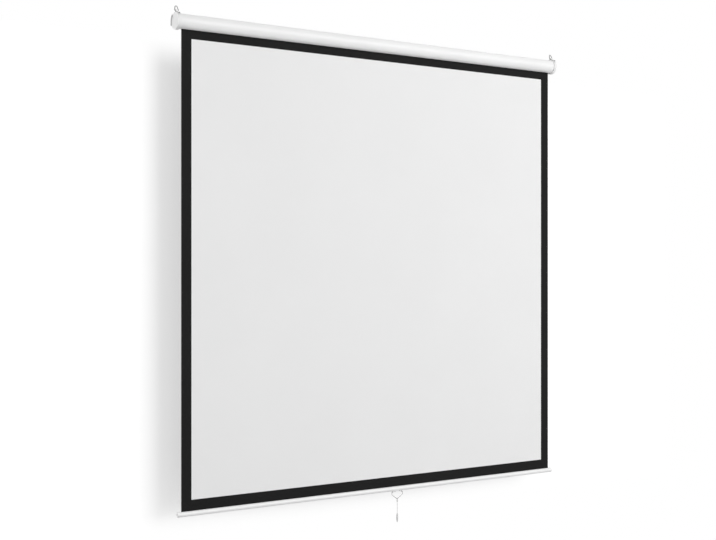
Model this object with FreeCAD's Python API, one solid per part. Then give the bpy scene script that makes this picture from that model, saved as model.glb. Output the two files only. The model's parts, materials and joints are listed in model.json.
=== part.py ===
import FreeCAD, Part
import math
import os

os.makedirs("parts", exist_ok=True)

Vector = FreeCAD.Vector

# Every length is in millimetres and every angle in degrees.
# X runs along the casing, Y points to the wall and Z points up.
# The origin is on the wall, midway between the two wall screw holes.

# Screen sheet
VIEW_SIDE = 1780.0
BORDER = 43.0
TOP_BORDER = 34.0
CLOTH = 0.3
COATING = 0.1
CLOTH_GAP = 0.3
SHEET_HALF = VIEW_SIDE / 2 + BORDER
VISIBLE_DROP = TOP_BORDER + VIEW_SIDE + BORDER

# Casing and end caps
CASING_R = 30.0
CASING_WALL = 1.2
CAP_WALL = 4.0
CAP_R = CASING_R + CAP_WALL
CAP_DISC = 3.0
CAP_SLEEVE = 11.0
CAP_ROUNDING = 2.5
CAP_PLAY = 0.1
END_OVERHANG = 26.0
END_FACE = SHEET_HALF + END_OVERHANG
CAP_INSIDE = END_FACE - CAP_DISC
CASING_HALF = CAP_INSIDE - CAP_PLAY
SLOT_FRONT = 3.2
LIP_R = 1.4

# Hanger straps
STRAP = 1.9
STRAP_PLAY = 0.1
STRAP_INNER = CAP_R + STRAP_PLAY
STRAP_OUTER = STRAP_INNER + STRAP
STRAP_WIDTH = 9.0
STRAP_FROM_END = 7.0
STRAP_X = END_FACE - STRAP_FROM_END
STRAP_FRONT_ANGLE = 148.0
FLANGE_TOP_ANGLE = 50.0
FLANGE_DEPTH = 9.0
FLANGE_PLAY = 0.3
LEG_DROP = 14.0
WALL_HOLE_R = 2.75
WALL_HOLE_DROP = 7.0
HEAD_POCKET_R = 5.5
POCKET_WALL = 0.5
HEAD_POCKET_FLOOR = CASING_R + POCKET_WALL
KNUCKLE_R = 4.2
KNUCKLE_STAND = 2.6
KNUCKLE_RISE = STRAP_OUTER + KNUCKLE_STAND

# Casing axis
AXIS_Y = -STRAP_OUTER
AXIS_Z = WALL_HOLE_DROP

# Strap screws
SCREW_ANGLES = (45.0, 135.0)
SCREW_HEAD_R = 3.5
SCREW_HEAD = 2.5
SCREW_ROUNDING = 0.8
SCREW_SHANK_R = 1.75
SCREW_PLAY = 0.1
SCREW_HOLE_R = SCREW_SHANK_R + SCREW_PLAY
SCREW_REACH = 9.0

# Hanging rings
RING_WIRE_R = 1.75
RING_PLAY = 0.15
RING_BASE_HALF = 8.5
RING_TOP_HALF = 3.5
RING_TALL = 20.0
RING_BASE_BEND = 3.0
RING_TOP_BEND = 2.8
RING_LEAN = -18.0

# Roller
ROLLER_R = 18.0
ROLLER_WALL = 1.0
ROLLER_OVERHANG = 3.0
ROLLER_HALF = SHEET_HALF + ROLLER_OVERHANG
WRAPS = 0.8
PLUG_PLAY = 0.05
PLUG_FLANGE = 3.0
PLUG_SPIGOT = 30.0
BUSH_R = 6.0
BUSH_PLAY = 0.1
BUSH_FLANGE_R = 8.0
BUSH_FLANGE = 1.0
BUSH_LENGTH = 25.0
AXLE_R = 4.0
AXLE_INSIDE = 22.0
BOSS_R = 9.0
BOSS_LENGTH = 9.0
BOSS_FLOOR = 0.5
COLLAR_R = 6.5
COLLAR_GAP = 0.3

# Lock and spring at the right end of the roller
TANG_HALF = 3.0
TANG_PLAY = 0.05
WHEEL_R = 8.4
WHEEL_GAP = 1.2
WHEEL_THICK = 4.0
NOTCH_COUNT = 4
NOTCH_DEPTH = 3.2
NOTCH_SHARES = ((-1.23, 1.5), (-0.6, 0.0), (0.72, 0.0), (2.5, 1.16))
NOSE_GAP = 0.35
NOSE_WIDE = 2.35
NOSE_TALL = 2.6
NOSE_LEAD_SHARE = 0.68
NOSE_ROOT_SHARE = 0.72
NOSE_BACK_SHARE = 0.85
PAWL_ARM = 2.3
PIVOT_OUT = 6.1
PAWL_PIVOT_R = WHEEL_R + PIVOT_OUT
PAWL_PIVOT_ANGLE = 40.0
PAWL_EYE_R = 3.1
PAWL_EYE_LOW_SHARES = (-0.61, -0.68)
PAWL_EYE_HIGH_SHARES = (0.35, 0.93)
PAWL_TURNS = (0.0, 180.0)
PIN_R = 1.3
PIN_PLAY = 0.1
PIN_PROUD = 0.8
PIN_ROOT = 2.5
NECK_R = 9.0
NECK_LENGTH = 20.0
ARBOR_LENGTH = 22.0
SHAFT_TAIL = 6.0
SPRING_GAP = 0.5
SPRING_WIRE_HALF = 1.1
SPRING_MEAN_R = NECK_R + SPRING_GAP + SPRING_WIRE_HALF
SPRING_TURNS = 18
SPRING_SEAT = 16.0
SPRING_SPAN = 126.0

# Bottom bar
BAR_R = 10.0
BAR_WALL = 1.2
BAR_OVERHANG = 17.0
BAR_HALF = SHEET_HALF + BAR_OVERHANG
BAR_PLUG = 4.0
BAR_SPIGOT = 12.0
BAR_SPIGOT_PLAY = 0.1
BAR_PLUG_ROUNDING = 1.2
BAR_SLOT_HALF = 1.0
HEM_R = 3.0
HEM_GAP = 0.15
HEM_HALF = SHEET_HALF
BAR_TOP_Z = AXIS_Z - CASING_R - VISIBLE_DROP
BAR_Z = BAR_TOP_Z - BAR_R
HEM_Z = BAR_Z + BAR_R - BAR_WALL - HEM_GAP - CLOTH - HEM_GAP - HEM_R

# Pull handle and its bracket
HANDLE_X = 74.0
BRACKET_THICK = 1.2
BRACKET_SPREAD = 64.0
EAR_X = 23.4
EAR_THICK = 2.6
BRACKET_HALF = EAR_X + EAR_THICK
EAR_R = 3.8
HANDLE_HANG = 2.2
HANDLE_DROP = BAR_R + BRACKET_THICK + HANDLE_HANG
HANDLE_WIRE_R = 1.5
HANDLE_PLAY = 0.15
HANDLE_STUB = 1.6
HANDLE_INNER = EAR_X - EAR_THICK / 2 - HANDLE_STUB
HANDLE_SIDE = 4.6
HANDLE_OUTER = EAR_X + HANDLE_SIDE
HANDLE_SHOULDER = 13.0
HANDLE_TALL = 32.0
HANDLE_TOP_BEND = 4.0
HANDLE_SIDE_BEND = 6.0
HANDLE_POINT_BEND = 4.0
BRACKET_SCREW_X = 12.0
BRACKET_SCREW_R = 1.25
BRACKET_SCREW_PLAY = 0.05
BRACKET_SCREW_HOLE_R = BRACKET_SCREW_R + BRACKET_SCREW_PLAY
BRACKET_SCREW_REACH = 5.0
BRACKET_HEAD_R = 2.5
BRACKET_HEAD = 1.6
PIVOT_Z = BAR_Z - HANDLE_DROP

# Pull cord
CORD_R = 1.0
CORD_LOOP_GAP = 0.4
CORD_LEG_GAP = 0.1
CORD_LEG_Y = CORD_R + CORD_LEG_GAP
CORD_LOOP_DROP = 6.5
CORD_LOOP_STRAIGHT = 1.2
CORD_LOOP_SHOULDER = 1.0
CORD_LEG_BEND = 1.2
CORD_LOOP_TRIM = 0.02
KNOT_TALL = 8.0
KNOT_R = 2.75
KNOT_END_R = 2.2
TOGGLE_FROM = 62.0
TOGGLE_TALL = 39.0
TOGGLE_R = 4.0
TOGGLE_TOP_R = 1.9
TOGGLE_TIP_R = 1.2
TOGGLE_PLAY = 0.05
TOGGLE_BORE_R = CORD_R + TOGGLE_PLAY
TOGGLE_BORE = 12.0
TOGGLE_WIDEST_SHARE = 0.55

ALONG = Vector(1, 0, 0)
TO_WALL = Vector(0, 1, 0)
UP = Vector(0, 0, 1)
AXIS = Vector(0, AXIS_Y, AXIS_Z)
MARGIN = 1.0


def save(name, shape):
    shape.exportStep("parts/" + name + ".step")


def rod(radius, x_from, x_to, y=AXIS_Y, z=AXIS_Z):
    return Part.makeCylinder(radius, x_to - x_from, Vector(x_from, y, z), ALONG)


def tube(outer, inner, x_from, x_to, y=AXIS_Y, z=AXIS_Z):
    return rod(outer, x_from, x_to, y, z).cut(rod(inner, x_from, x_to, y, z))


def block(x_from, x_to, y_from, y_to, z_from, z_to):
    corner = Vector(x_from, y_from, z_from)
    return Part.makeBox(x_to - x_from, y_to - y_from, z_to - z_from, corner)


def swept_band(x_from, x_to, inner, outer, start, sweep, y=AXIS_Y, z=AXIS_Z):
    corners = [(x_from, inner), (x_to, inner), (x_to, outer), (x_from, outer)]
    points = [Vector(x, y + r, z) for x, r in corners]
    face = Part.Face(Part.makePolygon(points + points[:1]))
    centre = Vector(0, y, z)
    face.rotate(centre, ALONG, start)
    return face.revolve(centre, ALONG, sweep)


def flat_prism(points, x_from, x_to):
    corners = [Vector(x_from, AXIS_Y + y, AXIS_Z + z) for y, z in points]
    face = Part.Face(Part.makePolygon(corners + corners[:1]))
    return face.extrude(ALONG * (x_to - x_from))


def other_side(shape):
    return shape.mirror(Vector(), ALONG)


def rounded_edges(points, bends):
    """Straight runs through the points, with a bend of the given radius at each inner one."""
    edges = []
    start = points[0]
    for before, corner, after, bend in zip(points, points[1:], points[2:], bends):
        came = (corner - before).normalize()
        goes = (after - corner).normalize()
        half_turn = came.getAngle(goes) / 2
        reach = bend * math.tan(half_turn)
        into = corner - came * reach
        out = corner + goes * reach
        inward = (goes - came).normalize()
        middle = corner + inward * (bend / math.cos(half_turn) - bend)
        edges.append(Part.makeLine(start, into))
        edges.append(Part.Arc(into, middle, out).toShape())
        start = out
    edges.append(Part.makeLine(start, points[-1]))
    return edges


def bent_wire(points, bends, radius):
    spine = Part.Wire(rounded_edges(points, bends))
    heading = points[1] - points[0]
    section = Part.Wire([Part.makeCircle(radius, points[0], heading)])
    return spine.makePipeShell([section], True, False)


def turned(profile, x, y, z):
    """A solid of revolution about an upright line, from (radius, height) points."""
    points = [Vector(x + r, y, z + h) for r, h in profile]
    face = Part.Face(Part.makePolygon(points + points[:1]))
    return face.revolve(Vector(x, y, z), UP, 360)


def radial_cylinder(radius, r_from, r_to, x, angle):
    shape = Part.makeCylinder(radius, r_to - r_from, Vector(x, AXIS_Y + r_from, AXIS_Z), TO_WALL)
    shape.rotate(AXIS, ALONG, angle)
    return shape


def at_each_screw(radius, r_from, r_to, sides):
    return [
        radial_cylinder(radius, r_from, r_to, side * STRAP_X, angle)
        for side in sides
        for angle in SCREW_ANGLES
    ]


# Casing

REAR_LIP_Y = CLOTH / 2 + CLOTH_GAP


def lip_centre(edge_y, outward):
    y = edge_y + outward * LIP_R
    return y, -math.sqrt((CASING_R - LIP_R) ** 2 - y**2)


def casing_tube():
    shell = tube(CASING_R, CASING_R - CASING_WALL, -CASING_HALF, CASING_HALF)
    front_y, front_z = lip_centre(-SLOT_FRONT, -1)
    rear_y, rear_z = lip_centre(REAR_LIP_Y, 1)
    slot = block(
        -END_FACE,
        END_FACE,
        AXIS_Y + front_y,
        AXIS_Y + rear_y,
        AXIS_Z - CASING_R - MARGIN,
        AXIS_Z,
    )
    front_lip = rod(LIP_R, -CASING_HALF, CASING_HALF, AXIS_Y + front_y, AXIS_Z + front_z)
    rear_lip = rod(LIP_R, -CASING_HALF, CASING_HALF, AXIS_Y + rear_y, AXIS_Z + rear_z)
    body = shell.cut(slot).fuse([front_lip, rear_lip])
    inside = CASING_R - CASING_WALL - MARGIN
    return body.cut(at_each_screw(SCREW_HOLE_R, inside, CAP_R, (-1, 1))).removeSplitter()


def plain_cap():
    """The right-hand cap before its axle seat is cut."""
    outside = rod(CAP_R, CAP_INSIDE - CAP_SLEEVE, END_FACE)
    rim = [
        edge
        for edge in outside.Edges
        if abs(edge.BoundBox.XMin - END_FACE) < CAP_PLAY and edge.BoundBox.XLength < CAP_PLAY
    ]
    rounded = outside.makeFillet(CAP_ROUNDING, rim)
    hollow = rod(CASING_R + CAP_PLAY, CAP_INSIDE - CAP_SLEEVE, CAP_INSIDE)
    boss = rod(BOSS_R, CAP_INSIDE - BOSS_LENGTH, CAP_INSIDE)
    pocket = Part.makeCylinder(
        HEAD_POCKET_R,
        CAP_R - HEAD_POCKET_FLOOR,
        Vector(STRAP_X, AXIS_Y + HEAD_POCKET_FLOOR, AXIS_Z - WALL_HOLE_DROP),
        TO_WALL,
    )
    holes = at_each_screw(SCREW_HOLE_R, CASING_R - MARGIN, CAP_R + MARGIN, (1,))
    return rounded.cut(hollow).fuse(boss).cut([pocket] + holes).removeSplitter()


def seat_ends():
    return CAP_INSIDE - BOSS_LENGTH - MARGIN, CAP_INSIDE - BOSS_FLOOR


def right_end_cap():
    x_from, x_to = seat_ends()
    half = TANG_HALF + TANG_PLAY
    seat = rod(AXLE_R + TANG_PLAY, x_from, x_to)
    seat = seat.common(block(x_from, x_to, AXIS_Y - half, AXIS_Y + half, AXIS_Z - BOSS_R, AXIS_Z + BOSS_R))
    return plain_cap().cut(seat)


def left_end_cap():
    x_from, x_to = seat_ends()
    return other_side(plain_cap().cut(rod(AXLE_R + TANG_PLAY, x_from, x_to)))


# Hanger straps, their screws and rings


def right_hanger_strap():
    inner = STRAP_INNER
    outer = STRAP_OUTER
    x_from = STRAP_X - STRAP_WIDTH / 2
    x_to = STRAP_X + STRAP_WIDTH / 2
    flange_from = END_FACE + FLANGE_PLAY
    flange_to = flange_from + STRAP
    arch = swept_band(x_from, x_to, inner, outer, 0, STRAP_FRONT_ANGLE)
    web = swept_band(x_from, flange_to, inner, outer, 0, FLANGE_TOP_ANGLE)
    flange = swept_band(flange_from, flange_to, outer - FLANGE_DEPTH, outer, 0, FLANGE_TOP_ANGLE)
    leg = block(x_from, flange_to, AXIS_Y + inner, AXIS_Y + outer, AXIS_Z - LEG_DROP, AXIS_Z)
    leg_flange = block(
        flange_from,
        flange_to,
        AXIS_Y + outer - FLANGE_DEPTH,
        AXIS_Y + outer,
        AXIS_Z - LEG_DROP,
        AXIS_Z,
    )
    knuckle = rod(KNUCKLE_R, x_from, x_to, AXIS_Y, AXIS_Z + KNUCKLE_RISE)
    strap = arch.fuse([web, flange, leg, leg_flange, knuckle])
    ring_hole = rod(
        RING_WIRE_R + RING_PLAY, x_from - MARGIN, x_to + MARGIN, AXIS_Y, AXIS_Z + KNUCKLE_RISE
    )
    wall_hole = Part.makeCylinder(
        WALL_HOLE_R, STRAP + MARGIN, Vector(STRAP_X, -STRAP - MARGIN, 0), TO_WALL
    )
    screw_holes = at_each_screw(SCREW_HOLE_R, inner - MARGIN, outer + MARGIN, (1,))
    return strap.cut([ring_hole, wall_hole] + screw_holes).removeSplitter()


def strap_screw(x, angle):
    seat = STRAP_OUTER
    head = Part.makeCylinder(SCREW_HEAD_R, SCREW_HEAD, Vector(x, AXIS_Y + seat, AXIS_Z), TO_WALL)
    crown = [edge for edge in head.Edges if edge.BoundBox.YMin > AXIS_Y + seat + SCREW_ROUNDING]
    head = head.makeFillet(SCREW_ROUNDING, crown)
    shank = Part.makeCylinder(
        SCREW_SHANK_R, SCREW_REACH, Vector(x, AXIS_Y + seat - SCREW_REACH, AXIS_Z), TO_WALL
    )
    screw = head.fuse(shank)
    screw.rotate(AXIS, ALONG, angle)
    return screw


def strap_screws():
    places = [(side * STRAP_X, angle) for side in (-1, 1) for angle in SCREW_ANGLES]
    return Part.makeCompound([strap_screw(x, angle) for x, angle in places])


def hanging_ring(x):
    pivot = Vector(x, AXIS_Y, AXIS_Z + KNUCKLE_RISE)
    outline = (
        (0, 0),
        (RING_BASE_HALF, 0),
        (RING_TOP_HALF, RING_TALL),
        (0, RING_TALL),
    )
    half_points = [pivot + Vector(across, 0, rise) for across, rise in outline]
    half = bent_wire(half_points, (RING_BASE_BEND, RING_TOP_BEND), RING_WIRE_R)
    ring = half.fuse(half.mirror(pivot, ALONG)).removeSplitter()
    ring.rotate(pivot, ALONG, RING_LEAN)
    return ring


# Roller

WRAP_R = ROLLER_R + WRAPS
FLANGE_OUT = ROLLER_HALF + PLUG_FLANGE


def roller_tube():
    return tube(ROLLER_R, ROLLER_R - ROLLER_WALL, -ROLLER_HALF, ROLLER_HALF)


def fabric_wraps():
    return tube(WRAP_R, ROLLER_R, -SHEET_HALF, SHEET_HALF)


def plain_plug():
    """The right-hand plug before its pin holes are cut."""
    spigot = rod(ROLLER_R - ROLLER_WALL - PLUG_PLAY, ROLLER_HALF - PLUG_SPIGOT, ROLLER_HALF)
    flange = rod(ROLLER_R, ROLLER_HALF, FLANGE_OUT)
    return spigot.fuse(flange).removeSplitter()


def plain_bush(x_from):
    barrel = rod(BUSH_R, x_from, FLANGE_OUT)
    flange = rod(BUSH_FLANGE_R, FLANGE_OUT, FLANGE_OUT + BUSH_FLANGE)
    bore = rod(AXLE_R + BUSH_PLAY, x_from, FLANGE_OUT + BUSH_FLANGE)
    return barrel.fuse(flange).cut(bore).removeSplitter()


def idle_plug():
    bore = rod(BUSH_R, ROLLER_HALF - PLUG_SPIGOT, FLANGE_OUT)
    return other_side(plain_plug().cut(bore))


def idle_bush():
    return other_side(plain_bush(FLANGE_OUT - BUSH_LENGTH))


def idle_axle():
    pin = rod(AXLE_R, ROLLER_HALF - AXLE_INSIDE, CAP_INSIDE - BOSS_FLOOR)
    collar_from = FLANGE_OUT + BUSH_FLANGE + COLLAR_GAP
    collar = rod(COLLAR_R, collar_from, CAP_INSIDE - BOSS_LENGTH - COLLAR_GAP)
    return other_side(pin.fuse(collar).removeSplitter())


# Lock and spring

NECK_FROM = ROLLER_HALF - PLUG_SPIGOT - NECK_LENGTH
SPRING_TO = ROLLER_HALF - PLUG_SPIGOT - NECK_LENGTH + SPRING_SEAT
SPRING_FROM = SPRING_TO - SPRING_SPAN
ARBOR_TO = SPRING_FROM + SPRING_SEAT
ARBOR_FROM = ARBOR_TO - ARBOR_LENGTH
SHAFT_FROM = ARBOR_FROM - SHAFT_TAIL
WHEEL_X = FLANGE_OUT + BUSH_FLANGE + WHEEL_GAP


def around_axis(shape, angle):
    copy = shape.copy()
    copy.rotate(AXIS, ALONG, angle)
    return copy


def pivot_place():
    angle = math.radians(PAWL_PIVOT_ANGLE)
    return PAWL_PIVOT_R * math.cos(angle), PAWL_PIVOT_R * math.sin(angle)


def pin_rod(radius, x_from, x_to):
    y, z = pivot_place()
    return rod(radius, x_from, x_to, AXIS_Y + y, AXIS_Z + z)


def spring_plug():
    neck = rod(NECK_R, NECK_FROM, ROLLER_HALF - PLUG_SPIGOT)
    bore = rod(BUSH_R, NECK_FROM, FLANGE_OUT)
    pin_hole = pin_rod(PIN_R, FLANGE_OUT - PIN_ROOT, FLANGE_OUT)
    pin_holes = [around_axis(pin_hole, turn) for turn in PAWL_TURNS]
    return plain_plug().fuse(neck).cut([bore] + pin_holes).removeSplitter()


def spring_bush():
    return plain_bush(NECK_FROM)


def pawl_pins():
    pin = pin_rod(PIN_R, FLANGE_OUT - PIN_ROOT, WHEEL_X + WHEEL_THICK + PIN_PROUD)
    return Part.makeCompound([around_axis(pin, turn) for turn in PAWL_TURNS])


def pawl_outline():
    tip = WHEEL_R + NOSE_GAP
    root = tip + NOSE_TALL
    eye_y, eye_z = pivot_place()
    eye = [
        (eye_y + PAWL_EYE_R * across, eye_z + PAWL_EYE_R * rise)
        for across, rise in (PAWL_EYE_LOW_SHARES, PAWL_EYE_HIGH_SHARES)
    ]
    nose = [
        (-NOSE_WIDE * NOSE_LEAD_SHARE, tip),
        (NOSE_WIDE * (1 - NOSE_LEAD_SHARE), tip),
        (NOSE_WIDE * NOSE_ROOT_SHARE, root),
    ]
    return nose + eye + [(-NOSE_WIDE * NOSE_BACK_SHARE, root + PAWL_ARM)]


def pawl(turn):
    x_to = WHEEL_X + WHEEL_THICK
    arm = flat_prism(pawl_outline(), WHEEL_X, x_to)
    eye = pin_rod(PAWL_EYE_R, WHEEL_X, x_to)
    hole = pin_rod(PIN_R + PIN_PLAY, WHEEL_X, x_to)
    return around_axis(arm.fuse(eye).cut(hole).removeSplitter(), turn)


def ratchet_wheel():
    x_to = WHEEL_X + WHEEL_THICK
    disc = tube(WHEEL_R, AXLE_R, WHEEL_X, x_to)
    floor = WHEEL_R - NOTCH_DEPTH
    outline = [(NOSE_WIDE * across, floor + NOTCH_DEPTH * rise) for across, rise in NOTCH_SHARES]
    notch = flat_prism(outline, WHEEL_X, x_to)
    step = 360 / NOTCH_COUNT
    return disc.cut([around_axis(notch, step * i) for i in range(NOTCH_COUNT)])


def spring_shaft():
    tang_from = CAP_INSIDE - BOSS_LENGTH
    tang_to = CAP_INSIDE - BOSS_FLOOR
    shaft = rod(AXLE_R, SHAFT_FROM, tang_from)
    tang = rod(AXLE_R, tang_from, tang_to)
    flats = block(tang_from, tang_to, AXIS_Y - TANG_HALF, AXIS_Y + TANG_HALF, AXIS_Z - BOSS_R, AXIS_Z + BOSS_R)
    return shaft.fuse(tang.common(flats)).removeSplitter()


def spring_arbor():
    return tube(NECK_R, AXLE_R, ARBOR_FROM, ARBOR_TO)


def torsion_spring():
    pitch = (SPRING_SPAN - SPRING_WIRE_HALF * 2) / SPRING_TURNS
    helix = Part.makeHelix(pitch, pitch * SPRING_TURNS, SPRING_MEAN_R)
    half = SPRING_WIRE_HALF
    corners = [(-half, -half), (half, -half), (half, half), (-half, half)]
    points = [Vector(SPRING_MEAN_R + across, 0, along) for across, along in corners]
    section = Part.makePolygon(points + points[:1])
    spring = Part.Wire(helix.Edges).makePipeShell([section], True, True)
    spring.rotate(Vector(), TO_WALL, 90)
    spring.translate(Vector(SPRING_FROM + half, AXIS_Y, AXIS_Z))
    print("spring gap between turns", round(pitch - half * 2, 2))
    return spring


# Screen sheet


def strip_run(offset, lip_y, lip_z, tilt, bottom):
    """One side of the cloth in section: up from the bar, round the rear lip and on to the roller."""
    lip_bend = lip_y - offset
    across = (math.cos(tilt), -math.sin(tilt))
    roll = WRAP_R + CLOTH_GAP + CLOTH / 2 + offset
    middle_angle = math.pi - tilt / 2
    points = [
        (offset, bottom),
        (offset, lip_z),
        (lip_y + lip_bend * math.cos(middle_angle), lip_z + lip_bend * math.sin(middle_angle)),
        (lip_y - lip_bend * across[0], lip_z - lip_bend * across[1]),
        (roll * across[0], roll * across[1]),
    ]
    return [Vector(-SHEET_HALF, AXIS_Y + y, AXIS_Z + z) for y, z in points]


def screen_fabric():
    lip_y, lip_z = lip_centre(REAR_LIP_Y, 1)
    away = math.hypot(lip_y, lip_z)
    roll = WRAP_R + CLOTH_GAP + CLOTH / 2
    tilt = math.asin((roll + lip_y) / away) - math.atan2(lip_y, -lip_z)
    hem_inner = HEM_R + HEM_GAP
    hem_outer = hem_inner + CLOTH
    bottom = HEM_Z + hem_inner + CLOTH / 2 - AXIS_Z
    front = strip_run(-CLOTH / 2, lip_y, lip_z, tilt, bottom)
    rear = strip_run(CLOTH / 2, lip_y, lip_z, tilt, bottom)
    edges = [Part.makeLine(front[0], rear[0]), Part.makeLine(front[-1], rear[-1])]
    for run in (front, rear):
        edges.append(Part.makeLine(run[0], run[1]))
        edges.append(Part.Arc(run[1], run[2], run[3]).toShape())
        edges.append(Part.makeLine(run[3], run[4]))
    outline = Part.Wire(Part.__sortEdges__(edges))
    sheet = Part.Face(outline).extrude(ALONG * (SHEET_HALF * 2))
    hem = tube(hem_outer, hem_inner, -SHEET_HALF, SHEET_HALF, AXIS_Y, HEM_Z)
    return sheet.fuse(hem).removeSplitter()


def viewing_surface():
    front = AXIS_Y - CLOTH / 2
    top = AXIS_Z - CASING_R - TOP_BORDER
    return block(-VIEW_SIDE / 2, VIEW_SIDE / 2, front - COATING, front, top - VIEW_SIDE, top)


# Bottom bar


def bracket_screw_places():
    return HANDLE_X - BRACKET_SCREW_X, HANDLE_X + BRACKET_SCREW_X


def bottom_bar():
    end = BAR_HALF - BAR_PLUG
    shell = tube(BAR_R, BAR_R - BAR_WALL, -end, end, AXIS_Y, BAR_Z)
    slot = block(
        -end,
        end,
        AXIS_Y - BAR_SLOT_HALF,
        AXIS_Y + BAR_SLOT_HALF,
        BAR_Z,
        BAR_TOP_Z + MARGIN,
    )
    holes = [
        Part.makeCylinder(BRACKET_SCREW_HOLE_R, BAR_R, Vector(x, AXIS_Y, BAR_Z - BAR_R - MARGIN))
        for x in bracket_screw_places()
    ]
    return shell.cut([slot] + holes).removeSplitter()


def right_bar_plug():
    end = BAR_HALF - BAR_PLUG
    head = rod(BAR_R, end, BAR_HALF, AXIS_Y, BAR_Z)
    rim = [edge for edge in head.Edges if edge.BoundBox.XMin > end + BAR_PLUG / 2]
    head = head.makeFillet(BAR_PLUG_ROUNDING, rim)
    spigot = rod(BAR_R - BAR_WALL - BAR_SPIGOT_PLAY, end - BAR_SPIGOT, end, AXIS_Y, BAR_Z)
    return head.fuse(spigot).removeSplitter()


def hem_rod():
    return rod(HEM_R, -HEM_HALF, HEM_HALF, AXIS_Y, HEM_Z)


# Pull handle


def bracket_ear(x):
    x_from = x - EAR_THICK / 2
    x_to = x + EAR_THICK / 2
    tip = rod(EAR_R, x_from, x_to, AXIS_Y, PIVOT_Z)
    stem = block(x_from, x_to, AXIS_Y - EAR_R, AXIS_Y + EAR_R, PIVOT_Z, BAR_Z)
    return tip.fuse(stem).cut(rod(BAR_R + BRACKET_THICK / 2, x_from, x_to, AXIS_Y, BAR_Z))


def handle_bracket():
    x_from = HANDLE_X - BRACKET_HALF
    x_to = HANDLE_X + BRACKET_HALF
    start = -90 - BRACKET_SPREAD / 2
    saddle = swept_band(
        x_from, x_to, BAR_R, BAR_R + BRACKET_THICK, start, BRACKET_SPREAD, AXIS_Y, BAR_Z
    )
    ears = [bracket_ear(HANDLE_X + side * EAR_X) for side in (-1, 1)]
    wire_hole = rod(HANDLE_WIRE_R + HANDLE_PLAY, x_from, x_to, AXIS_Y, PIVOT_Z)
    screw_holes = [
        Part.makeCylinder(BRACKET_SCREW_HOLE_R, BAR_R * 2, Vector(x, AXIS_Y, BAR_Z - BAR_R * 2))
        for x in bracket_screw_places()
    ]
    return saddle.fuse(ears).cut([wire_hole] + screw_holes).removeSplitter()


def bracket_screw(x):
    seat = BAR_Z - BAR_R - BRACKET_THICK
    head = Part.makeCylinder(BRACKET_HEAD_R, BRACKET_HEAD, Vector(x, AXIS_Y, seat - BRACKET_HEAD))
    shank = Part.makeCylinder(BRACKET_SCREW_R, BRACKET_SCREW_REACH, Vector(x, AXIS_Y, seat))
    return head.fuse(shank)


def bracket_screws():
    return Part.makeCompound([bracket_screw(x) for x in bracket_screw_places()])


def pull_handle():
    outline = (
        (-HANDLE_INNER, 0),
        (-HANDLE_OUTER, 0),
        (-HANDLE_OUTER, -HANDLE_SHOULDER),
        (0, -HANDLE_TALL),
        (HANDLE_OUTER, -HANDLE_SHOULDER),
        (HANDLE_OUTER, 0),
        (HANDLE_INNER, 0),
    )
    bends = (
        HANDLE_TOP_BEND,
        HANDLE_SIDE_BEND,
        HANDLE_POINT_BEND,
        HANDLE_SIDE_BEND,
        HANDLE_TOP_BEND,
    )
    points = [Vector(HANDLE_X + across, AXIS_Y, PIVOT_Z + rise) for across, rise in outline]
    return bent_wire(points, bends, HANDLE_WIRE_R)


# Pull cord


def cord_pivot_z():
    """Middle of the handle wire at its lowest point."""
    half_turn = math.atan2(HANDLE_TALL - HANDLE_SHOULDER, HANDLE_OUTER)
    return PIVOT_Z - HANDLE_TALL + HANDLE_POINT_BEND / math.cos(half_turn) - HANDLE_POINT_BEND


CORD_Z = cord_pivot_z()
KNOT_TOP = CORD_Z - CORD_LOOP_DROP
TOGGLE_TOP = CORD_Z - TOGGLE_FROM


def cord_loop():
    wide = HANDLE_WIRE_R + CORD_LOOP_GAP + CORD_R
    side = (
        (CORD_LEG_Y, -CORD_LOOP_DROP),
        (CORD_LEG_Y, -CORD_LOOP_DROP + CORD_LOOP_STRAIGHT),
        (wide, -CORD_LOOP_SHOULDER),
        (wide, wide),
    )
    outline = side + tuple((-y, z) for y, z in reversed(side))
    over = wide - CORD_LOOP_TRIM
    bends = (CORD_LEG_BEND, CORD_LEG_BEND, over, over, CORD_LEG_BEND, CORD_LEG_BEND)
    points = [Vector(HANDLE_X, AXIS_Y + y, CORD_Z + z) for y, z in outline]
    return bent_wire(points, bends, CORD_R)


def cord_knot():
    profile = (
        (0, 0),
        (KNOT_END_R, 0),
        (KNOT_R, -KNOT_TALL / 3),
        (KNOT_R, -KNOT_TALL * 2 / 3),
        (KNOT_END_R, -KNOT_TALL),
        (0, -KNOT_TALL),
    )
    return turned(profile, HANDLE_X, AXIS_Y, KNOT_TOP)


def pull_cord():
    bottom = TOGGLE_TOP - TOGGLE_BORE
    return Part.makeCylinder(CORD_R, KNOT_TOP - KNOT_TALL - bottom, Vector(HANDLE_X, AXIS_Y, bottom))


def cord_toggle():
    widest = -TOGGLE_TALL * TOGGLE_WIDEST_SHARE
    at = [
        Vector(HANDLE_X + r, AXIS_Y, TOGGLE_TOP + h)
        for r, h in ((TOGGLE_TOP_R, 0), (TOGGLE_R, widest), (TOGGLE_TIP_R, -TOGGLE_TALL))
    ]
    side = Part.BSplineCurve()
    side.interpolate(at)
    top = Vector(HANDLE_X, AXIS_Y, TOGGLE_TOP)
    tip = Vector(HANDLE_X, AXIS_Y, TOGGLE_TOP - TOGGLE_TALL)
    edges = [Part.makeLine(top, at[0]), side.toShape(), Part.makeLine(at[-1], tip), Part.makeLine(tip, top)]
    body = Part.Face(Part.Wire(edges)).revolve(top, UP, 360)
    bore = Part.makeCylinder(TOGGLE_BORE_R, TOGGLE_BORE, Vector(HANDLE_X, AXIS_Y, TOGGLE_TOP - TOGGLE_BORE))
    return body.cut(bore)


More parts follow.
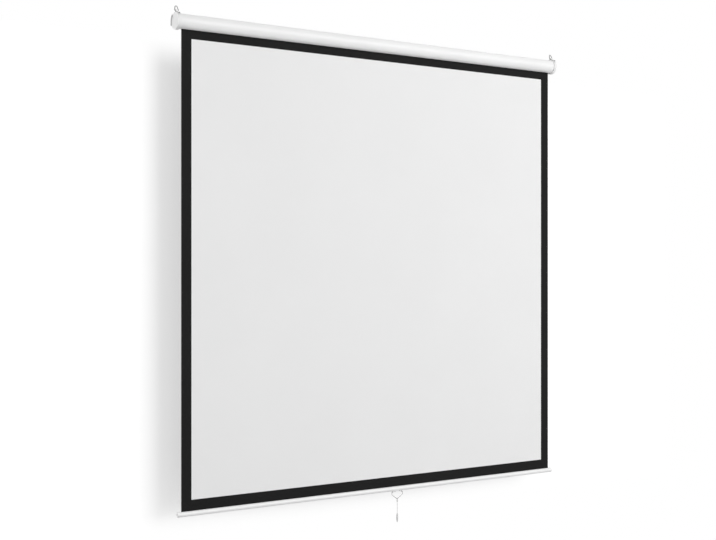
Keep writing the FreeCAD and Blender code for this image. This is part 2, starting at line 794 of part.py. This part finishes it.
SUB_PARTS = {
    "casing_tube": casing_tube(),
    "left_end_cap": left_end_cap(),
    "right_end_cap": right_end_cap(),
    "left_hanger_strap": other_side(right_hanger_strap()),
    "right_hanger_strap": right_hanger_strap(),
    "strap_screws": strap_screws(),
    "left_hanging_ring": hanging_ring(-STRAP_X),
    "right_hanging_ring": hanging_ring(STRAP_X),
    "roller_tube": roller_tube(),
    "fabric_wraps": fabric_wraps(),
    "idle_plug": idle_plug(),
    "idle_bush": idle_bush(),
    "idle_axle": idle_axle(),
    "spring_plug": spring_plug(),
    "spring_bush": spring_bush(),
    "spring_shaft": spring_shaft(),
    "spring_arbor": spring_arbor(),
    "torsion_spring": torsion_spring(),
    "ratchet_wheel": ratchet_wheel(),
    "pawl_pins": pawl_pins(),
    "upper_pawl": pawl(PAWL_TURNS[0]),
    "lower_pawl": pawl(PAWL_TURNS[1]),
    "screen_fabric": screen_fabric(),
    "viewing_surface": viewing_surface(),
    "bottom_bar": bottom_bar(),
    "left_bar_plug": other_side(right_bar_plug()),
    "right_bar_plug": right_bar_plug(),
    "hem_rod": hem_rod(),
    "handle_bracket": handle_bracket(),
    "bracket_screws": bracket_screws(),
    "pull_handle": pull_handle(),
    "cord_loop": cord_loop(),
    "cord_knot": cord_knot(),
    "pull_cord": pull_cord(),
    "cord_toggle": cord_toggle(),
}

for name, shape in SUB_PARTS.items():
    save(name, shape)
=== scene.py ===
import json
import math

import bmesh
import bpy
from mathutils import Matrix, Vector


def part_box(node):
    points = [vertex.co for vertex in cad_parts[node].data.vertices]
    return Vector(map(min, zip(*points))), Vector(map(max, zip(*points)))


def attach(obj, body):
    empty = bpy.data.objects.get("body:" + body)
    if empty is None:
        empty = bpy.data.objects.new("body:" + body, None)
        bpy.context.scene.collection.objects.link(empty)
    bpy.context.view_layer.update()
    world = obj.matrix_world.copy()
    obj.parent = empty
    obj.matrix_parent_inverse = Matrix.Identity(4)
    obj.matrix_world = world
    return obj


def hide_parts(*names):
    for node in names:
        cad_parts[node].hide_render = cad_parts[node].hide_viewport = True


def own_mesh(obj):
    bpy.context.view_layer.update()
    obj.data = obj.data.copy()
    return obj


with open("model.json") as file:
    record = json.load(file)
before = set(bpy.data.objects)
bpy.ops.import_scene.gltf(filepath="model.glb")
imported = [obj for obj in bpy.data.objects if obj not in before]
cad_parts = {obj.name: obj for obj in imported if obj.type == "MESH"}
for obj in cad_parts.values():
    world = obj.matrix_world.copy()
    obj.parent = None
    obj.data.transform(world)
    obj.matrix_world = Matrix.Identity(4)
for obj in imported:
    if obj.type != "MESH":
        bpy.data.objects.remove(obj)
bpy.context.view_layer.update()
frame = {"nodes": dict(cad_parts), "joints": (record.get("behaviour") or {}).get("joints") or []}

# Every length is in metres and every angle in degrees. The lens and its sensor are in millimetres.
# X runs along the casing, Y points to the wall and Z points up.

nodes = frame["nodes"]
scene = bpy.context.scene

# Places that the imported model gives
casing_low, casing_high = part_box("casing_tube")
cloth_low, cloth_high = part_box("screen_fabric")
white_low, white_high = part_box("viewing_surface")
loop_low, loop_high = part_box("cord_loop")
knot_low, knot_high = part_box("cord_knot")
cord_low, cord_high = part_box("pull_cord")
hem_low, hem_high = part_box("hem_rod")
wraps_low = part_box("fabric_wraps")[0]
strap_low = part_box("right_hanger_strap")[0]
joints = {joint["name"]: joint for joint in frame["joints"]}
travel = max(joints["screen_travel"]["range_m"])

# Camera
CAMERA_PLACE = (-2.7699, -4.1789, -0.9492)
CAMERA_TURN = (90.0, 0.0, -32.539)
LENS_MM = 58.6
SENSOR_MM = 36.0

# Wall and floor: their places, their colour and the glow that only the eye sees
STAGE_HALF = 9.0
WALL_Y = 0.1
WALL_WHITE = 0.7
WALL_GLOW = 0.5
FLOOR_Z = -2.5
FLOOR_WHITE = 0.49
FLOOR_GLOW = 0.7
PURE_WHITE = 1.0

# Painted light: the wall turns from shaded to pure white, which hides its shadows, between these heights,
# and between these distances from its middle
FADE_BELOW = (-1.86, -2.02)
FADE_ABOVE = (-0.165, -0.03)
FADE_BESIDE = (1.35, 1.9)

# Light
STRAIGHT_DOWN = -1.0
SKY_LOW = 0.02
SKY_HIGH = 0.6
LAMP_AIM = (0.0, 0.0, -0.9)
KEY_PLACE = (2.6, -5.6, 0.9)
KEY_SIZE = 5.0
KEY_POWER = 256.0
FILL_PLACE = (-4.6, -0.8, -0.3)
FILL_SIZE = 2.0
FILL_POWER = 62.0

# Screen sheet
CLOTH = 0.0003  # thickness
LIP_R = 0.0014  # of the rounded edges of the casing's slot
SHEET_CELLS = 8
HEM_GAP = 0.00015  # between the hem and its rod
HEM_SIDES = 24
ROLL_GAP = 0.0007  # from the turns on the roller down to where the sheet gathers
FOLDED = 0.002  # height of the gathered sheet
SEAM_GAP = 0.00005  # between the sheet and the lap of the strip behind it
SEAM_LAP = 0.001
BLACK_FACE = 0  # number of the material slot
WHITE_FACE = 1

# Strap screws, and the painted shade of their cross recesses
SCREW_ANGLES = (45.0, 135.0)
SCREW_TOP_R = 0.0385  # from the casing's axis to the crown of the heads
RECESS_ARMS = 4
RECESS_LONG = 0.0038
RECESS_WIDE = 0.0009
RECESS_PROUD = 0.00004
STRAP_HALF = 0.0045

# Pull cord
CORD_R = 0.001
HANDLE_WIRE_R = 0.0015
LOOP_GAP = 0.0004
LOOP_SHOULDER = 0.001
LOOP_STRAIGHT = 0.0012
LEG_Y = 0.0011  # from the middle of the loop to each leg
RUN_POINT = 0.012  # from the top of the knot down to the cord's middle point
KNOT_TURNS = 3
KNOT_STEPS = 12
KNOT_WIND_R = 0.00165
CURVE_STEPS = 6
CURVE_ORDER = 3
POINT_WEIGHT = 1.0

# Patterns of the finishes: noise, threads and the slow change of tone
NOISE_LOW = 0.3
NOISE_HIGH = 0.7
FINE_DETAIL = 4.0
TONE_SCALE = 6.0
TONE_DETAIL = 2.0
CLOTH_TONE_SCALE = 2.5
CLOTH_TONE_DETAIL = 3.0
WAVE_SCALE = math.pi / 10  # gives the wave texture one band for each metre
THREAD_WAVER = 0.4
EVEN = (1, 1, 1)
ALONG_X = (0.04, 1, 1)

# Relief of the finishes, and how much their tone changes
DEEP = 0.00002
SHALLOW = 0.00001
PAINT_MOTTLE = 0.03
STEEL_MOTTLE = 0.08
DULL_STEEL_MOTTLE = 0.1

# Least and most roughness
BRIGHT = (0.25, 0.38)
POWDER = (0.3, 0.42)
TURNED = (0.3, 0.45)
SATIN = (0.35, 0.5)
MOULDED = (0.42, 0.55)
WAXY = (0.45, 0.6)
DULL = (0.5, 0.7)


# Materials


def new_material(name):
    material = bpy.data.materials.new(name)
    material.use_nodes = True
    tree = material.node_tree
    return material, tree, tree.nodes["Principled BSDF"]


def grey(level):
    return (level, level, level)


def opaque(colour):
    return (*colour, 1.0)


def worked_out(tree, operation, *values):
    """The result of a Math node on other nodes' outputs and plain numbers."""
    node = tree.nodes.new("ShaderNodeMath")
    node.operation = operation
    for entry, value in zip(node.inputs, values):
        if isinstance(value, bpy.types.NodeSocket):
            tree.links.new(value, entry)
        else:
            entry.default_value = value
    return node.outputs["Value"]


def object_noise(tree, scale, detail, stretch=EVEN):
    """Noise in the object's own metres, stretched along an axis where asked."""
    place = tree.nodes.new("ShaderNodeTexCoord")
    mapping = tree.nodes.new("ShaderNodeMapping")
    mapping.inputs["Scale"].default_value = stretch
    noise = tree.nodes.new("ShaderNodeTexNoise")
    noise.inputs["Scale"].default_value = scale
    noise.inputs["Detail"].default_value = detail
    tree.links.new(place.outputs["Object"], mapping.inputs["Vector"])
    tree.links.new(mapping.outputs["Vector"], noise.inputs["Vector"])
    return noise.outputs["Fac"]


def object_threads(tree, size, direction):
    """Fine parallel threads, one for each size of length."""
    place = tree.nodes.new("ShaderNodeTexCoord")
    wave = tree.nodes.new("ShaderNodeTexWave")
    wave.bands_direction = direction
    wave.inputs["Scale"].default_value = WAVE_SCALE / size
    wave.inputs["Distortion"].default_value = THREAD_WAVER
    tree.links.new(place.outputs["Object"], wave.inputs["Vector"])
    return wave.outputs["Fac"]


def spread(tree, value, low, high):
    """The middle of the value's range, stretched to run from low to high."""
    span = tree.nodes.new("ShaderNodeMapRange")
    span.inputs["From Min"].default_value = NOISE_LOW
    span.inputs["From Max"].default_value = NOISE_HIGH
    span.inputs["To Min"].default_value = low
    span.inputs["To Max"].default_value = high
    tree.links.new(value, span.inputs["Value"])
    return span.outputs["Result"]


def shaded(tree, value, colour, depth):
    """The colour, darker by up to depth where the value is low."""
    mix = tree.nodes.new("ShaderNodeMix")
    mix.data_type = "RGBA"
    mix.inputs["A"].default_value = opaque(part * (1 - depth) for part in colour)
    mix.inputs["B"].default_value = opaque(colour)
    tree.links.new(spread(tree, value, 0.0, 1.0), mix.inputs["Factor"])
    return mix.outputs["Result"]


def bumped(tree, shader, value, relief):
    bump = tree.nodes.new("ShaderNodeBump")
    bump.inputs["Strength"].default_value = 1.0
    bump.inputs["Distance"].default_value = relief
    tree.links.new(value, bump.inputs["Height"])
    tree.links.new(bump.outputs["Normal"], shader.inputs["Normal"])


def coated(name, colour, rough, grain, relief, mottle=PAINT_MOTTLE, metal=False, stretch=EVEN):
    """Paint, moulded plastic or metal: a fine grain in relief and a slow change of tone."""
    material, tree, shader = new_material(name)
    fine = object_noise(tree, 1 / grain, FINE_DETAIL, stretch)
    slow = object_noise(tree, TONE_SCALE, TONE_DETAIL)
    tree.links.new(shaded(tree, slow, colour, mottle), shader.inputs["Base Color"])
    tree.links.new(spread(tree, fine, *rough), shader.inputs["Roughness"])
    shader.inputs["Metallic"].default_value = float(metal)
    bumped(tree, shader, fine, relief)
    return material


def steel(name, colour, rough, grain, relief, mottle=STEEL_MOTTLE, stretch=EVEN):
    return coated(name, colour, rough, grain, relief, mottle, True, stretch)


def woven(name, colour, thread, relief, rough, gloss, mottle, groove_shade):
    """Cloth: warp and weft threads in relief, with painted shade between them, and a slow change of tone."""
    material, tree, shader = new_material(name)
    warp = object_threads(tree, thread, "X")
    weft = object_threads(tree, thread, "Z")
    weave = worked_out(tree, "MULTIPLY", warp, weft)
    slow = object_noise(tree, CLOTH_TONE_SCALE, CLOTH_TONE_DETAIL)
    tone = tree.nodes.new("ShaderNodeMix")
    tone.data_type = "RGBA"
    tone.blend_type = "MULTIPLY"
    tone.inputs["Factor"].default_value = 1.0
    tree.links.new(shaded(tree, slow, colour, mottle), tone.inputs["A"])
    # Painted shade: the colour is darker between the threads
    tree.links.new(spread(tree, weave, 1 - groove_shade, 1.0), tone.inputs["B"])
    tree.links.new(tone.outputs["Result"], shader.inputs["Base Color"])
    shader.inputs["Roughness"].default_value = rough
    shader.inputs["Specular IOR Level"].default_value = gloss
    bumped(tree, shader, weave, relief)
    return material


def twisted(name, colour, pitch, relief, rough, groove_shade):
    """Cord: slanted strands in relief, with painted shade in the grooves."""
    material, tree, shader = new_material(name)
    strands = object_threads(tree, pitch, "DIAGONAL")
    # Painted shade: the colour is darker in the grooves between the strands
    tree.links.new(shaded(tree, strands, colour, groove_shade), shader.inputs["Base Color"])
    shader.inputs["Roughness"].default_value = rough
    bumped(tree, shader, strands, relief)
    return material


def bare_and_shaded_sides(material, bare_and_shade):
    """The same finish, but darker grey on the faces that look along the casing: bare steel on the cut edges,
    and painted shade on the flange's broad outer face.
    """
    tree = material.node_tree
    shader = tree.nodes["Principled BSDF"]
    paint = shader.inputs["Base Color"].links[0].from_socket
    place = tree.nodes.new("ShaderNodeTexCoord")
    facing = tree.nodes.new("ShaderNodeSeparateXYZ")
    tree.links.new(place.outputs["Normal"], facing.inputs["Vector"])
    along = worked_out(tree, "ABSOLUTE", facing.outputs["X"])
    mix = tree.nodes.new("ShaderNodeMix")
    mix.data_type = "RGBA"
    mix.inputs["B"].default_value = opaque(bare_and_shade)
    tree.links.new(spread(tree, along, 0.0, 1.0), mix.inputs["Factor"])
    tree.links.new(paint, mix.inputs["A"])
    tree.links.new(mix.outputs["Result"], shader.inputs["Base Color"])
    return material


white_coat = coated("white_powder_coat", grey(0.9), POWDER, grain=0.0012, relief=DEEP)
white_plastic = coated("white_moulding", grey(0.87), MOULDED, grain=0.0008, relief=DEEP)
strap_paint = coated("strap_paint", grey(0.84), SATIN, grain=0.001, relief=DEEP)
strap_strip = coated("strap_strip", grey(0.84), SATIN, grain=0.001, relief=DEEP)
# Painted shade: the strap's faces that look along the casing are darker grey, bare steel at the cut edges
# but painted shade on the flange's outer face
bare_and_shaded_sides(strap_strip, bare_and_shade=grey(0.36))
screw_steel = steel("screw_zinc", grey(0.34), SATIN, grain=0.0005, relief=DEEP, mottle=DULL_STEEL_MOTTLE)
wire_steel = steel("wire_zinc", grey(0.44), BRIGHT, grain=0.0006, relief=DEEP)
ring_steel = steel("ring_zinc", grey(0.3), BRIGHT, grain=0.0006, relief=DEEP)
plain_steel = steel("turned_steel", (0.5, 0.5, 0.52), TURNED, grain=0.0006, relief=SHALLOW)
roller_steel = steel(
    "rolled_steel", (0.55, 0.55, 0.57), TURNED, grain=0.0008, relief=SHALLOW, stretch=ALONG_X
)
spring_steel = steel(
    "spring_wire", (0.2, 0.2, 0.21), TURNED, grain=0.0006, relief=SHALLOW, mottle=DULL_STEEL_MOTTLE
)
nylon = coated("nylon", (0.76, 0.75, 0.7), WAXY, grain=0.0008, relief=SHALLOW)
grey_plastic = coated("grey_moulding", grey(0.65), SATIN, grain=0.0008, relief=SHALLOW)
# Painted shade: near-black for the plates that stand in for the shade in the screws' cross recesses
painted_recess_shade = coated("recess_shade", grey(0.05), DULL, grain=0.0005, relief=SHALLOW)
white_cloth = woven(
    "matt_white_cloth",
    grey(0.94),
    thread=0.0009,
    relief=0.00003,
    rough=0.85,
    gloss=0.2,
    mottle=0.015,
    groove_shade=0.08,
)
black_cloth = woven(
    "black_cloth",
    grey(0.022),
    thread=0.0009,
    relief=0.00004,
    rough=0.8,
    gloss=0.08,
    mottle=0.15,
    groove_shade=0.4,
)
cord_yarn = twisted("cord_yarn", (0.74, 0.74, 0.73), pitch=0.0009, relief=0.0001, rough=0.8, groove_shade=0.25)

NODE_FINISH = {
    "casing_tube": white_coat,
    "left_end_cap": white_plastic,
    "right_end_cap": white_plastic,
    "left_hanger_strap": strap_strip,
    "right_hanger_strap": strap_strip,
    "strap_screws": screw_steel,
    "left_hanging_ring": ring_steel,
    "right_hanging_ring": ring_steel,
    "roller_tube": roller_steel,
    "fabric_wraps": black_cloth,
    "idle_plug": nylon,
    "idle_bush": nylon,
    "idle_axle": plain_steel,
    "spring_plug": nylon,
    "spring_bush": nylon,
    "spring_shaft": plain_steel,
    "spring_arbor": nylon,
    "torsion_spring": spring_steel,
    "ratchet_wheel": plain_steel,
    "pawl_pins": plain_steel,
    "upper_pawl": plain_steel,
    "lower_pawl": plain_steel,
    "bottom_bar": white_coat,
    "left_bar_plug": white_plastic,
    "right_bar_plug": white_plastic,
    "hem_rod": plain_steel,
    "handle_bracket": strap_paint,
    "bracket_screws": screw_steel,
    "pull_handle": wire_steel,
    "cord_toggle": grey_plastic,
}
for name, material in NODE_FINISH.items():
    for slot in nodes[name].material_slots:
        slot.material = material


def new_object(name, mesh, materials):
    piece = bpy.data.objects.new(name, mesh)
    scene.collection.objects.link(piece)
    for material in materials:
        mesh.materials.append(material)
    return piece


def formed_object(name, form, materials):
    """An object with the form's faces, all turned outwards."""
    bmesh.ops.recalc_face_normals(form, faces=form.faces)
    mesh = bpy.data.meshes.new(name)
    form.to_mesh(mesh)
    form.free()
    return new_object(name, mesh, materials)


# Camera


def add_camera():
    camera = bpy.data.cameras.new("photo_camera")
    camera.lens = LENS_MM
    camera.sensor_width = SENSOR_MM
    viewer = bpy.data.objects.new("photo_camera", camera)
    viewer.location = CAMERA_PLACE
    viewer.rotation_euler = [math.radians(turn) for turn in CAMERA_TURN]
    scene.collection.objects.link(viewer)
    scene.camera = viewer


add_camera()


# Pull cord


def cord_piece(name, points, node):
    """A smooth run of the cord along its control points, in place of one of the model's nodes."""
    curve = bpy.data.curves.new(name, "CURVE")
    curve.dimensions = "3D"
    curve.bevel_depth = CORD_R
    curve.bevel_resolution = CURVE_STEPS
    curve.resolution_u = CURVE_STEPS
    curve.use_fill_caps = True
    spline = curve.splines.new("NURBS")
    spline.points.add(len(points) - 1)
    for control, place in zip(spline.points, points):
        control.co = (*place, POINT_WEIGHT)
    spline.order_u = CURVE_ORDER
    spline.use_endpoint_u = True
    piece = new_object(name, curve, [cord_yarn])
    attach(piece, "cord")
    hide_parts(node)
    return piece


def hanging_cord(x, y):
    """The straight run from the knot into the toggle."""
    points = [
        (x, y, knot_high.z),
        (x, y, knot_high.z - RUN_POINT),
        (x, y, cord_low.z),
    ]
    return cord_piece("hanging_cord", points, "pull_cord")


def cord_eye(x, y):
    """The loop over the handle's wire."""
    wide = HANDLE_WIRE_R + LOOP_GAP + CORD_R
    crown_z = loop_high.z - CORD_R
    wire_z = crown_z - wide
    side = [
        (LEG_Y, loop_low.z),
        (LEG_Y, loop_low.z + LOOP_STRAIGHT),
        (wide, wire_z - LOOP_SHOULDER),
        (wide, crown_z),
    ]
    route = side + [(-across, z) for across, z in reversed(side)]
    points = [(x, y + across, z) for across, z in route]
    return cord_piece("cord_eye", points, "cord_loop")


def wound_knot(x, y):
    """Turns of the cord round its own legs."""
    count = KNOT_TURNS * KNOT_STEPS
    top = knot_high.z - CORD_R
    tall = knot_high.z - knot_low.z - CORD_R * 2
    points = []
    for step in range(count + 1):
        angle = 2 * math.pi * step / KNOT_STEPS
        across = (KNOT_WIND_R * math.cos(angle), KNOT_WIND_R * math.sin(angle))
        points.append((x + across[0], y + across[1], top - tall * step / count))
    return cord_piece("wound_knot", points, "cord_knot")


def add_cord():
    x = (cord_low.x + cord_high.x) / 2
    y = (cord_low.y + cord_high.y) / 2
    cord = hanging_cord(x, y)
    cord_eye(x, y)
    wound_knot(x, y)


add_cord()


# Screen sheet


def evenly(low, high, count):
    return [low + (high - low) * step / count for step in range(count + 1)]


def sheet_columns():
    middle = evenly(white_low.x, white_high.x, SHEET_CELLS)
    return [cloth_low.x] + middle + [cloth_high.x]


def front_ways(rows):
    """The direction of the cloth's front at each place of its section."""
    ways = []
    for here in range(len(rows)):
        before = rows[max(here - 1, 0)]
        after = rows[min(here + 1, len(rows) - 1)]
        ways.append(Vector((after[1] - before[1], before[0] - after[0])).normalized())
    return ways


def cloth_piece(name, rows, white_rows):
    """A closed sheet through the rows (y, z), white on its front between the borders."""
    columns = sheet_columns()
    form = bmesh.new()
    layers = []
    for offset in (CLOTH / 2, -CLOTH / 2):
        places = [Vector(row) + way * offset for row, way in zip(rows, front_ways(rows))]
        layers.append([[form.verts.new((x, y, z)) for x in columns] for y, z in places])
    front, back = layers
    row_count = len(rows) - 1
    column_count = len(columns) - 1
    for row in range(row_count):
        upper, lower = front[row], front[row + 1]
        upper_back, lower_back = back[row], back[row + 1]
        for here in range(column_count):
            face = form.faces.new((upper[here], lower[here], lower[here + 1], upper[here + 1]))
            inside = 0 < here < column_count - 1 and row in white_rows
            face.material_index = WHITE_FACE if inside else BLACK_FACE
            form.faces.new((upper_back[here], upper_back[here + 1], lower_back[here + 1], lower_back[here]))
    for row in range(row_count):
        form.faces.new((front[row][0], back[row][0], back[row + 1][0], front[row + 1][0]))
        form.faces.new((front[row][-1], front[row + 1][-1], back[row + 1][-1], back[row][-1]))
    for here in range(column_count):
        form.faces.new((front[0][here], front[0][here + 1], back[0][here + 1], back[0][here]))
        form.faces.new((front[-1][here], back[-1][here], back[-1][here + 1], front[-1][here + 1]))
    piece = formed_object(name, form, [black_cloth, white_cloth])
    return piece


def hem_loop():
    """Places round the hem's rod, from its top and almost back to it."""
    y = (hem_low.y + hem_high.y) / 2
    z = (hem_low.z + hem_high.z) / 2
    radius = hem_high.z - z + HEM_GAP + CLOTH / 2
    angles = [2 * math.pi * step / HEM_SIDES for step in range(HEM_SIDES)]
    return [(y - radius * math.sin(angle), z + radius * math.cos(angle)) for angle in angles]


def strip_section(y, split_z):
    """Rows of the strip: a lap behind the sheet's lower edge, which hides the seam, and the hem."""
    lap_y = y + CLOTH + SEAM_GAP
    return [(lap_y, split_z + SEAM_LAP), (lap_y, split_z), (y, split_z - SEAM_LAP)] + hem_loop()


def add_sheet():
    """The sheet that gathers under the roller, and the strip of it that travels with the bar."""
    y = white_high.y + CLOTH / 2
    gather_z = wraps_low.z - ROLL_GAP
    long = travel + FOLDED
    split_z = gather_z - long
    leader = [(cloth_high.y, cloth_high.z), (y, casing_low.z + LIP_R)]
    white = [(y, z) for z in evenly(white_high.z, white_low.z, SHEET_CELLS)]
    first = len(leader)
    sheet_rows = leader + white + [(y, split_z)]
    strip_rows = strip_section(y, split_z)
    sheet = cloth_piece("screen_sheet", sheet_rows, range(first, first + SHEET_CELLS))
    strip = cloth_piece("bottom_strip", strip_rows, ())
    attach(sheet, "housing")
    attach(strip, "drop_bar")
    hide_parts("screen_fabric", "viewing_surface")
    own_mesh(sheet)


add_sheet()


# Painted shade in the strap screws' cross recesses


def shade_cross(form, place, outward):
    """A dark plus-shaped plate that lies on a screw head's crown, as painted shade of its cross recess."""
    turn = outward.to_track_quat("Z", "Y").to_matrix()
    arm = RECESS_LONG / 2
    half = RECESS_WIDE / 2
    corner = [(half, arm), (half, half), (arm, half)]
    outline = []
    for _ in range(RECESS_ARMS):
        outline += corner
        corner = [(along, -across) for across, along in corner]
    rings = []
    for rise in (RECESS_PROUD, -RECESS_PROUD):
        places = [place + turn @ Vector((across, along, rise)) for across, along in outline]
        rings.append([form.verts.new(spot) for spot in places])
    top, low = rings
    form.faces.new(reversed(top))
    form.faces.new(low)
    for here in range(len(outline)):
        form.faces.new((top[here - 1], top[here], low[here], low[here - 1]))


def add_recess_shade():
    form = bmesh.new()
    axis_y = (casing_low.y + casing_high.y) / 2
    axis_z = casing_high.z - (casing_high.y - casing_low.y) / 2
    for side in (-1, 1):
        for angle in SCREW_ANGLES:
            way = Vector((0, math.cos(math.radians(angle)), math.sin(math.radians(angle))))
            centre = Vector((side * (strap_low.x + STRAP_HALF), axis_y, axis_z))
            shade_cross(form, centre + way * SCREW_TOP_R, way)
    piece = formed_object("screw_recesses", form, [painted_recess_shade])
    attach(piece, "housing")


add_recess_shade()


# Stage and light


def seen_rays(tree):
    """One for rays that show the stage, straight, mirrored or through glass, and none for light."""
    path = tree.nodes.new("ShaderNodeLightPath")
    seen = path.outputs["Is Camera Ray"]
    for ray in ("Is Glossy Ray", "Is Transmission Ray"):
        seen = worked_out(tree, "MAXIMUM", seen, path.outputs[ray])
    return seen


def rising(tree, value, span):
    """None at the span's start and one at its end."""
    fade = tree.nodes.new("ShaderNodeMapRange")
    fade.interpolation_type = "SMOOTHSTEP"
    fade.inputs["From Min"].default_value = span[0]
    fade.inputs["From Max"].default_value = span[1]
    tree.links.new(value, fade.inputs["Value"])
    return fade.outputs["Result"]


def shadow_hiding_share(tree):
    """None on the wall behind the sheet and one well below, above or beside it, where painted white hides
    the wall's shadows.
    """
    place = tree.nodes.new("ShaderNodeTexCoord")
    parts = tree.nodes.new("ShaderNodeSeparateXYZ")
    tree.links.new(place.outputs["Object"], parts.inputs["Vector"])
    aside = worked_out(tree, "ABSOLUTE", parts.outputs["X"])
    below = rising(tree, parts.outputs["Z"], FADE_BELOW)
    above = rising(tree, parts.outputs["Z"], FADE_ABOVE)
    beside = rising(tree, aside, FADE_BESIDE)
    return worked_out(tree, "MAXIMUM", worked_out(tree, "MAXIMUM", below, above), beside)


def mixed(tree, share, first, second):
    mix = tree.nodes.new("ShaderNodeMixShader")
    tree.links.new(share, mix.inputs["Fac"])
    tree.links.new(first, mix.inputs[1])
    tree.links.new(second, mix.inputs[2])
    return mix.outputs["Shader"]


def painted_white_past_screen(tree, near):
    """The near shader, and painted pure white well past the screen, which hides the shadows there."""
    pure = tree.nodes.new("ShaderNodeEmission")
    pure.inputs["Strength"].default_value = PURE_WHITE
    share = worked_out(tree, "MULTIPLY", seen_rays(tree), shadow_hiding_share(tree))
    return mixed(tree, share, near, pure.outputs["Emission"])


def stage_material(name, white, shine, paints_out_shadows):
    """Plain white that keeps shadows, but where asked painted white past the screen hides them, and is seen
    from its front only.
    """
    material = bpy.data.materials.new(name)
    material.use_nodes = True
    tree = material.node_tree
    tree.nodes.clear()
    plain = tree.nodes.new("ShaderNodeBsdfDiffuse")
    plain.inputs["Color"].default_value = opaque(grey(white))
    glow = tree.nodes.new("ShaderNodeEmission")
    tree.links.new(worked_out(tree, "MULTIPLY", seen_rays(tree), shine), glow.inputs["Strength"])
    lit = tree.nodes.new("ShaderNodeAddShader")
    tree.links.new(plain.outputs["BSDF"], lit.inputs[0])
    tree.links.new(glow.outputs["Emission"], lit.inputs[1])
    front = lit.outputs["Shader"]
    if paints_out_shadows:
        front = painted_white_past_screen(tree, front)
    clear = tree.nodes.new("ShaderNodeBsdfTransparent")
    side = tree.nodes.new("ShaderNodeNewGeometry")
    whole = mixed(tree, side.outputs["Backfacing"], front, clear.outputs["BSDF"])
    output = tree.nodes.new("ShaderNodeOutputMaterial")
    tree.links.new(whole, output.inputs["Surface"])
    return material


def add_stage():
    low, high = -STAGE_HALF, STAGE_HALF
    square = [(low, low), (high, low), (high, high), (low, high)]
    planes = {
        "wall": ([(x, WALL_Y, z) for x, z in square], WALL_WHITE, WALL_GLOW, True),
        "floor": ([(x, y, FLOOR_Z) for x, y in square], FLOOR_WHITE, FLOOR_GLOW, False),
    }
    for name, (places, white, shine, paints_out_shadows) in planes.items():
        mesh = bpy.data.meshes.new(name)
        mesh.from_pydata(places, [], [range(len(places))])
        new_object(name, mesh, [stage_material(name, white, shine, paints_out_shadows)])


def area_light(name, place, size, power):
    light = bpy.data.lights.new(name, "AREA")
    light.size = size
    light.energy = power
    lamp = bpy.data.objects.new(name, light)
    lamp.location = place
    lamp.rotation_euler = (Vector(LAMP_AIM) - Vector(place)).to_track_quat("-Z", "Y").to_euler()
    scene.collection.objects.link(lamp)


def add_world():
    """White where it is seen or mirrored, and a soft sky that is brighter overhead elsewhere."""
    world = bpy.data.worlds.new("studio")
    scene.world = world
    world.use_nodes = True
    tree = world.node_tree
    background = tree.nodes["Background"]
    background.inputs["Color"].default_value = opaque(grey(PURE_WHITE))
    place = tree.nodes.new("ShaderNodeTexCoord")
    height = tree.nodes.new("ShaderNodeSeparateXYZ")
    sky = tree.nodes.new("ShaderNodeMapRange")
    sky.inputs["From Min"].default_value = STRAIGHT_DOWN
    sky.inputs["To Min"].default_value = SKY_LOW
    sky.inputs["To Max"].default_value = SKY_HIGH
    tree.links.new(place.outputs["Generated"], height.inputs["Vector"])
    tree.links.new(height.outputs["Z"], sky.inputs["Value"])
    level = worked_out(tree, "MAXIMUM", sky.outputs["Result"], seen_rays(tree))
    tree.links.new(level, background.inputs["Strength"])


add_stage()
add_world()
area_light("key", KEY_PLACE, KEY_SIZE, KEY_POWER)
area_light("fill", FILL_PLACE, FILL_SIZE, FILL_POWER)
scene.view_settings.view_transform = "Standard"
